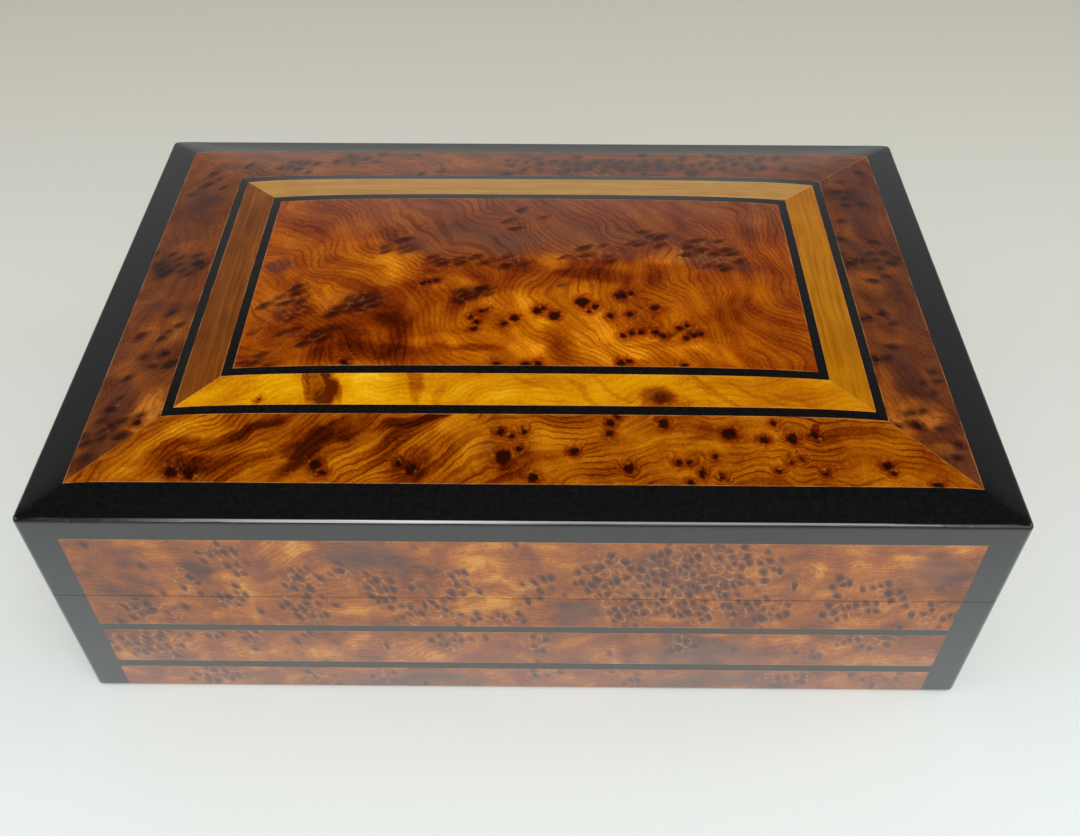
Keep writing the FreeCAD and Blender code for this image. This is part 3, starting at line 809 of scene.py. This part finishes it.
LEFT_BORDER = border(
    "left", 31.0, RUSSET, grain_turn=75.0, grain_depth=0.28,
    tones=patch_rows(
        (-125, 0, 30, 100, -4), (-118, -64, 7, 12, 44), (-124, -24, 10, 9, 20), (-119, 22, 7, 9, 14),
        (-118, 66, 8, 12, 14), (-126, 44, 9, 14, -12), (-124, 12, 12, 8, -14), (-131, -40, 6, 5, 16),
        (-133, -84, 8, 5, -20)),
    crowds=patch_rows(
        (-122, 12, 12, 7, 80), (-133, 22, 6, 7, 60), (-126, -26, 11, 6, 70), (-128, -62, 7, 8, 60),
        (-121, -40, 7, 6, 50), (-128, 62, 9, 9, 70), (-134, -74, 5, 8, 60)),
    dull=patch_rows(
        (-129, -54, 6, 8, 50), (-128, -76, 7, 7, 35), (-126, -10, 11, 3.6, 45), (-126, 12, 12, 5, 40),
        (-126, 52, 9, 15, 50), (-130, 30, 7, 5, 40)),
    knots=knot_rows(
        (-131, -60, 1.5), (-128.5, -67.5, 1.2), (-120, -67, 1.2), (-118, 12, 1.4), (-131, 8, 1.3),
        (-119, -36, 1.2), (-131, -26, 1.0)))

RIGHT_BORDER = border(
    "right", 43.0, RUSSET, grain_turn=110.0, eye_turn=20.0, grain_depth=0.28,
    tones=patch_rows(
        (125, 0, 30, 100, -16), (124, -58, 8, 6, 46), (115, -58, 4, 14, 40), (120, 4, 9, 7, 26),
        (122, -26, 8, 4, 24), (118, 34, 6, 8, 16), (126, 55, 12, 10, -12), (126, -74, 6, 3, 30)),
    crowds=patch_rows(
        (118, 14, 8, 5, 80), (131, 24, 8, 7, 80), (119, -16, 9, 5, 70), (133, 0, 5, 8, 50),
        (118, -38, 6, 4, 60), (127, 58, 9, 9, 70), (124, -66, 9, 7, 60), (132, -45, 5, 7, 50)),
    dull=patch_rows(
        (122, -38, 9, 8, 45), (133, -80, 7, 8, 50), (122, 22, 10, 5, 35), (128, 50, 9, 14, 30),
        (130, -14, 8, 4, 40)),
    knots=knot_rows(
        (122, -66, 1.4), (134, -72, 1.2), (116, 14, 1.2), (121, 16, 1.0), (117, -16, 1.1), (122, -13, 1.2),
        (115, -37, 1.2)))


def side(name: str, plane: Plane, seed: float, crowds: tuple[Patch, ...], **figure: object) -> BurlLeaf:
    """Describes the leaf of one side, whose figure runs up through all of that side's bands.

    Args:
        name: Name of the side.
        plane: Plane that the side lies in.
        seed: Shift of the leaf's noise.
        crowds: Crowds of eyes.
        **figure: What else sets this leaf apart.

    Returns:
        The leaf.
    """
    eyes = EyeField(crowds=crowds, largest=0.38, mesh=0.7)
    return BurlLeaf(slot="burl_" + name, plane=plane, seed=seed, palette=TAWNY, grain_turn=8.0,
                    grain_depth=0.34, grain_pitch=1.9, mottle=0.6, mottle_size=13.0, fields=(eyes,),
                    dull_colour="#6c4c40", eye_colour="#3c1a12", painted_glare=(0.04, 0.17), **figure)


def scattered(seed: int, half: float, count: int, strength: tuple[float, float]) -> tuple[Patch, ...]:
    """Scatters patches over a leaf that the photograph doesn't show, the same ones on each run.

    Args:
        seed: Start of the draws.
        half: Half of the leaf's length, in millimetres.
        count: How many patches.
        strength: Weakest and strongest patch.

    Returns:
        The patches.
    """
    draw = random.Random(seed)
    return tuple(Patch(draw.uniform(-half, half), draw.uniform(3, 82), draw.uniform(5, 14),
                       draw.uniform(4, 9), draw.uniform(*strength)) for _ in range(count))


def hidden_side(name: str, plane: Plane, seed: float, draws: int) -> BurlLeaf:
    """Describes a side that the photograph doesn't show.

    Args:
        name: Name of the side.
        plane: Plane that the side lies in.
        seed: Shift of the leaf's noise.
        draws: Start of the random draws.

    Returns:
        The leaf.
    """
    half, shadows, crowds = HIDDEN[plane]
    return side(name, plane, seed, scattered(draws + 1, half, crowds, (0.4, 0.95)),
                tones=scattered(draws, half, shadows, (-0.3, 0.3)))


FRONT_SIDE = side(
    "front", Plane.FACE, 57.0,
    tones=patch_rows(
        (-11, 66, 11, 22, 28), (-15, 50, 10, 8, 12), (104, 70, 22, 13, 20), (-67, 80, 6, 4, 34),
        (-86, 66, 7, 12, 22), (-64, 44, 36, 5, 8), (-92, 44, 14, 4, 20), (86, 46, 8, 8, 20),
        (-60, 24, 40, 6, 16), (15, 80, 12, 4, 20), (130, 82, 8, 3, 20), (27, 45, 3, 8, 30),
        (-120, 66, 18, 16, -12), (17, 45, 8, 8, -34), (-47, 74, 14, 10, -24), (-36, 68, 9, 8, -20),
        (128, 68, 9, 9, -30), (-100, 70, 5, 6, -30), (44, 66, 24, 14, -10), (-130, 45, 10, 9, -20),
        (62, 24, 18, 8, -26), (-40, 6, 24, 5, -30), (20, 6, 16, 5, 10), (70, 6, 30, 5, -24),
        (105, 27, 20, 6, 10)),
    crowds=patch_rows(
        (-69, 48, 7, 9, 100), (-69, 63, 6, 8, 80), (-92, 54, 6, 7, 90), (-88, 68, 4, 4, 60),
        (-92, 77, 7, 5, 90), (-105, 61, 5, 8, 70), (-120, 46, 12, 5, 70), (-45, 60, 6, 9, 90),
        (-38, 47, 6, 6, 80), (-28, 48, 5, 6, 80), (-20, 62, 5, 8, 80), (-33, 60, 4, 4, 60),
        (-13, 44, 12, 5, 80), (-20, 55, 7, 3, 70), (4, 60, 5, 12, 40), (26, 66, 10, 13, 80),
        (34, 48, 8, 8, 70), (46, 60, 12, 16, 75), (60, 52, 12, 12, 70), (52, 76, 14, 8, 60),
        (70, 70, 10, 14, 60), (78, 50, 8, 8, 50), (102, 48, 9, 8, 70), (116, 52, 10, 7, 70),
        (106, 62, 12, 4, 60), (131, 46, 7, 7, 60), (-4, 80, 4, 3, 80), (-56, 67, 4, 5, 70),
        (-125, 27, 14, 8, 90), (-104, 32, 6, 4, 70), (-92, 33, 5, 4, 70), (-72, 34, 4, 3, 80),
        (-46, 29, 5, 3, 70), (-24, 30, 8, 5, 80), (4, 28, 5, 8, 70), (27, 24, 4, 4, 60), (52, 28, 6, 5, 70),
        (95, 24, 8, 4, 40), (114, 31, 12, 5, 70), (-106, 7, 12, 6, 80), (-72, 6, 6, 5, 60),
        (-50, 8, 6, 4, 60), (8, 9, 8, 4, 60), (36, 7, 8, 4, 60), (90, 8, 12, 4, 60), (124, 9, 10, 5, 60)),
    dull=patch_rows(
        (17, 45, 9, 7, 60), (-47, 75, 14, 8, 40), (126, 68, 10, 8, 40), (46, 66, 20, 14, 30),
        (62, 24, 14, 8, 50), (-40, 6, 24, 6, 50), (64, 6, 26, 6, 50), (-126, 48, 14, 8, 30)))

PALE_FRONT = BurlLeaf(
    slot="pale_front", plane=Plane.TOP, seed=5.0, palette=GOLD, grain_turn=14.0, grain_pitch=2.2,
    grain_depth=0.22, mottle=0.24, swell=9.0,
    tones=patch_rows(
        (-65, -55, 3.6, 12, -40, 12), (-63.6, -56, 1.1, 9, -24, 16), (-69.8, -53, 1.4, 8, -34, 12),
        (-60.5, -59, 1.6, 5, -30, 30), (-73, -60, 3, 4, 10), (-35, -53, 1.8, 9, -30, -6),
        (-30, -57, 1.4, 6, -20, -14), (-48, -54, 8, 7, 22), (-21, -60, 6, 2, -16), (-80, -52, 6, 3, 12),
        (-90, -56, 14, 6, 4), (-12, -56, 14, 5, 12), (41, -57.5, 5, 4, -44), (46, -60, 8, 3, -20),
        (84, -55, 24, 8, -10), (20, -55, 12, 8, 2), (-40, -56, 50, 6, 6), (10, -60, 30, 3, 10),
        (19, -56, 10, 0.9, -20, -36), (27, -54, 9, 0.8, -16, -33), (56, -53, 8, 0.9, -20, -30),
        (63, -58, 12, 1.0, -20, -25), (75, -55, 13, 0.9, -20, -23), (88, -57, 11, 1.0, -16, -22),
        (3, -55, 9, 0.8, -14, -30)),
    dull=patch_rows((84, -55, 34, 8, 50), (4, -55, 46, 8, 30)),
    dull_colour="#c07008", eye_colour="#481802",
    knots=knot_rows((-83, -59.8, 0.6), (42.5, -58.5, 1.0)))

LEAVES = (
    CENTRE_PANEL, FRONT_BORDER, BACK_BORDER, LEFT_BORDER, RIGHT_BORDER, FRONT_SIDE,
    hidden_side("back", Plane.FACE, 71.0, 5),
    hidden_side("left", Plane.END, 83.0, 7),
    hidden_side("right", Plane.END, 97.0, 9),
    PALE_FRONT,
    PaleStrip("pale_back", 15.0, ("#96682a", "#b08038", "#c4944a"), along_x=True),
    PaleStrip("pale_left", 25.0, ("#542804", "#743c0c", "#905014"), along_x=False),
    PaleStrip("pale_right", 35.0, ("#8a4e00", "#a86602", "#be7c0a"), along_x=False),
)


@dataclass(frozen=True)
class Stand:
    """Camera place and lens, worked out from the outline of the box in the photograph."""

    place: tuple[float, float, float] = (6.84 * MM, -305.84 * MM, 346.27 * MM)
    turn: tuple[float, float, float] = (44.133, -0.048, 0.486)
    lens: float = 37.10

    def build(self) -> None:
        """Sets the camera up."""
        data = bpy.data.cameras.new("camera")
        data.lens = self.lens
        data.sensor_width = 36.0
        data.clip_start = 0.01
        camera = bpy.data.objects.new("camera", data)
        camera.location = self.place
        camera.rotation_euler = [math.radians(angle) for angle in self.turn]
        bpy.context.scene.collection.objects.link(camera)
        bpy.context.scene.camera = camera
        LOG.info("camera at %s, lens %.1f mm", self.place, self.lens)


@dataclass
class FeltSheets:
    """The three felts, cut to the places that the box's solids hold for them."""

    edge_round: float = 0.4 * MM

    def build(self) -> None:
        """Builds each felt and lets it stand for its plain solid."""
        places = (("floor_felt", "box", "laid", "bottom_board", "lining"),
                  ("base_felt", "box", "stretched", "bottom_board", "base"),
                  ("lid_felt", "lid", "stretched", "lid_board", "lining"))
        finishes = {"lining": Felt("lining", *CRIMSON).material(),
                    "base": Felt("base", "#0d0d0e", "#232324").material()}
        for node, body, held, support, finish in places:
            sheet = self.sheet(node)
            sheet.data.materials.append(finishes[finish])
            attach(sheet, body)
            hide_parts(node)
            LOG.info("%s: %d faces", sheet.name, len(sheet.data.polygons))

    def sheet(self, node: str) -> bpy.types.Object:
        """Models one felt: a thin block with soft edges.

        Args:
            node: Node whose place the felt takes.

        Returns:
            The felt, with its place in its mesh.
        """
        low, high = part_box(node)
        size = [top - foot for foot, top in zip(low, high)]
        centre = [(foot + top) / 2 for foot, top in zip(low, high)]
        bpy.ops.object.select_all(action="DESELECT")
        bpy.ops.mesh.primitive_cube_add(size=1, location=centre)
        piece = bpy.context.object
        piece.name = node + "_sheet"
        piece.scale = size
        bpy.ops.object.transform_apply(location=True, rotation=True, scale=True)
        bevel = piece.modifiers.new("soft_edge", "BEVEL")
        bevel.width = self.edge_round
        bevel.segments = 3
        bpy.ops.object.modifier_apply(modifier=bevel.name)
        bpy.ops.object.mode_set(mode="EDIT")
        bpy.ops.mesh.select_all(action="SELECT")
        bpy.ops.mesh.subdivide(number_cuts=5)
        bpy.ops.object.mode_set(mode="OBJECT")
        bpy.ops.object.shade_smooth_by_angle(angle=math.radians(50))
        return piece


@dataclass
class Studio:
    """Pale table, soft light from above the viewer, and a room that is dark overhead."""

    table_size: float = 7.0
    key_power: float = 11.0
    ambient: float = 0.55
    window: float = 8.0  # brightness of the soft window that only the front arris mirrors
    backdrop: str = "#d2d0c6"
    daylight: str = "#fbfaf6"

    def build(self) -> None:
        """Builds the table, the lamps and the room."""
        self.table()
        self.lamps()
        self.room()

    def table(self) -> None:
        """Lays the table top, with painted shade that warms and darkens it slightly towards the back."""
        bpy.ops.object.select_all(action="DESELECT")
        bpy.ops.mesh.primitive_plane_add(size=self.table_size, location=(0, 0, 0))
        table = bpy.context.object
        table.name = "table"
        graph = Graph(bpy.data.materials.new("satin_table"))
        parts = graph.add("SeparateXYZ", (graph.add("TexCoord", output="Object"),)).node.outputs
        # Painted shade: darker and warmer towards the back.
        far_shade = graph.add("MapRange", (parts["Y"], -0.14, 0.5, 0.0, 1.0))
        colour = graph.add("ValToRGB", (far_shade,), stops=(
            (0.0, "#ecf5f4"), (0.5, "#dadad1"), (1.0, "#c9c5b8")))
        table.data.materials.append(graph.surface({"Base Color": colour, "Roughness": 0.5}))

    def lamps(self) -> None:
        """Hangs one broad lamp above and in front, and a weaker one on each side."""
        spots = (("key", (0.15, -0.75, 1.35), 0.9, self.key_power),
                 ("left", (-1.3, -0.2, 0.9), 0.7, self.key_power * 0.25),
                 ("right", (1.3, 0.1, 0.9), 0.7, self.key_power * 0.25))
        for name, place, size, power in spots:
            data = bpy.data.lights.new(name, "AREA")
            data.size = size
            data.energy = power
            lamp = bpy.data.objects.new(name, data)
            lamp.location = place
            aim = [-c for c in place]
            lamp.rotation_euler = (math.atan2(math.hypot(aim[0], aim[1]), -aim[2]), 0,
                                   math.atan2(aim[1], aim[0]) + 1.5 * math.pi)
            bpy.context.scene.collection.objects.link(lamp)

    def room(self) -> None:
        """Paints the room.

        Light that scatters off the box comes evenly from all round. The gloss mirrors a room that is
        bright low down and dark overhead, brighter far behind the box, with one soft window low in
        front. The camera sees a plain pale backdrop.
        """
        world = bpy.data.worlds.new("room")
        bpy.context.scene.world = world
        graph = Graph(world)
        parts = graph.add("SeparateXYZ", (graph.add("TexCoord", output="Generated"),)).node.outputs
        height = parts["Z"]
        mirrored = graph.add("ValToRGB", (height,), stops=(
            (0.0, "#5c5d5a"), (0.1, "#8a8b88"), (0.25, "#8e8f8e"), (0.38, "#8a8b8c"), (0.5, "#686869"),
            (0.6, "#3c3c3c"), (0.72, "#1c1c1c"), (0.9, "#0e0e0e")))
        away = graph.add("MapRange", (parts["Y"], 0.72, 0.97, 1.0, 1.9), **SOFT)
        front = graph.add("MapRange", (parts["Y"], -0.14, -0.34, 0.0, 1.0), **SOFT)
        above = graph.add("MapRange", (height, 0.2, 0.5, 0.0, 1.0), **SOFT)
        window = graph.add("Math", (front, above), operation="MULTIPLY")
        sideways = graph.add("Math", (parts["X"], 0.16), operation="ADD")
        sideways = graph.add("Math", (sideways,), operation="ABSOLUTE")
        middle = graph.add("MapRange", (sideways, 0.22, 0.05, 0.3, 1.0), **SOFT)
        edge = graph.add("MapRange", (parts["X"], -0.42, -0.3, 0.0, 1.0), **SOFT)
        pane = graph.add("Math", (middle, edge), operation="MULTIPLY")
        window = graph.add("Math", (window, pane), operation="MULTIPLY")
        mirrored = graph.add("Mix", {0: window, "A": mirrored, "B": "#ffffff"}, **COLOURS)
        strong = graph.add("Math", (window, self.window, away), operation="MULTIPLY_ADD")
        seen = graph.add("LightPath", output="Is Camera Ray").node.outputs
        shown = graph.add("Mix", {0: seen["Is Camera Ray"], "A": mirrored, "B": self.backdrop}, **COLOURS)
        bright = graph.add("Mix", {0: seen["Is Camera Ray"], "A": strong, "B": 1.0})
        sharp = graph.add("Math", (seen["Is Camera Ray"], seen["Is Glossy Ray"]), operation="MAXIMUM")
        colour = graph.add("Mix", {0: sharp, "A": self.daylight, "B": shown}, **COLOURS)
        strength = graph.add("Mix", {0: sharp, "A": self.ambient, "B": bright})
        shader = graph.add("Background", {"Color": colour, "Strength": strength})
        graph.add("OutputWorld", {"Surface": shader})


@dataclass
class Box:
    """The box itself: every solid gets the finish that its material slot names."""

    nodes: dict
    record: dict

    def dress(self) -> None:
        """Gives each node its finish."""
        finishes = self.finishes()
        slots = {part["node"]: part["material_slot"] for part in self.record["subparts"]}
        for name, node in self.nodes.items():
            material = finishes[slots[name]]
            for index in range(len(node.material_slots)):
                node.material_slots[index].material = material
            LOG.info("%s: %s", name, material.name)

    def finishes(self) -> dict:
        """Builds one material for each slot of the record.

        Returns:
            Material by slot name.
        """
        made = {leaf.slot: leaf.material() for leaf in LEAVES}
        made["black_lacquer"] = BlackGloss("edging").material()
        made["black_inlay"] = BlackGloss("inlay", colour="#0d0a08", painted_glare="#d8ccb8").material()
        made["core_wood"] = PlainWood("core", "#5a2c14", "#84502c").material()
        made["liner_wood"] = PlainWood("liner", "#6a3416", "#9a5f34", streak_width=1.2).material()
        made["felt"] = Felt("plain", *CRIMSON).material()
        made["brass"] = Brass("hinge").material()
        made["screw_brass"] = Brass("screw", roughness=0.2).material()
        return made


def main() -> None:
    """Builds the whole scene, piece by piece."""
    logging.basicConfig(level=logging.INFO, format="%(name)s %(message)s")
    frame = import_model()
    bpy.context.scene.view_settings.view_transform = "Standard"
    Stand().build()
    Box(frame["nodes"], frame["record"]).dress()
    FeltSheets().build()
    Studio().build()


if __name__ == "__main__":
    main()
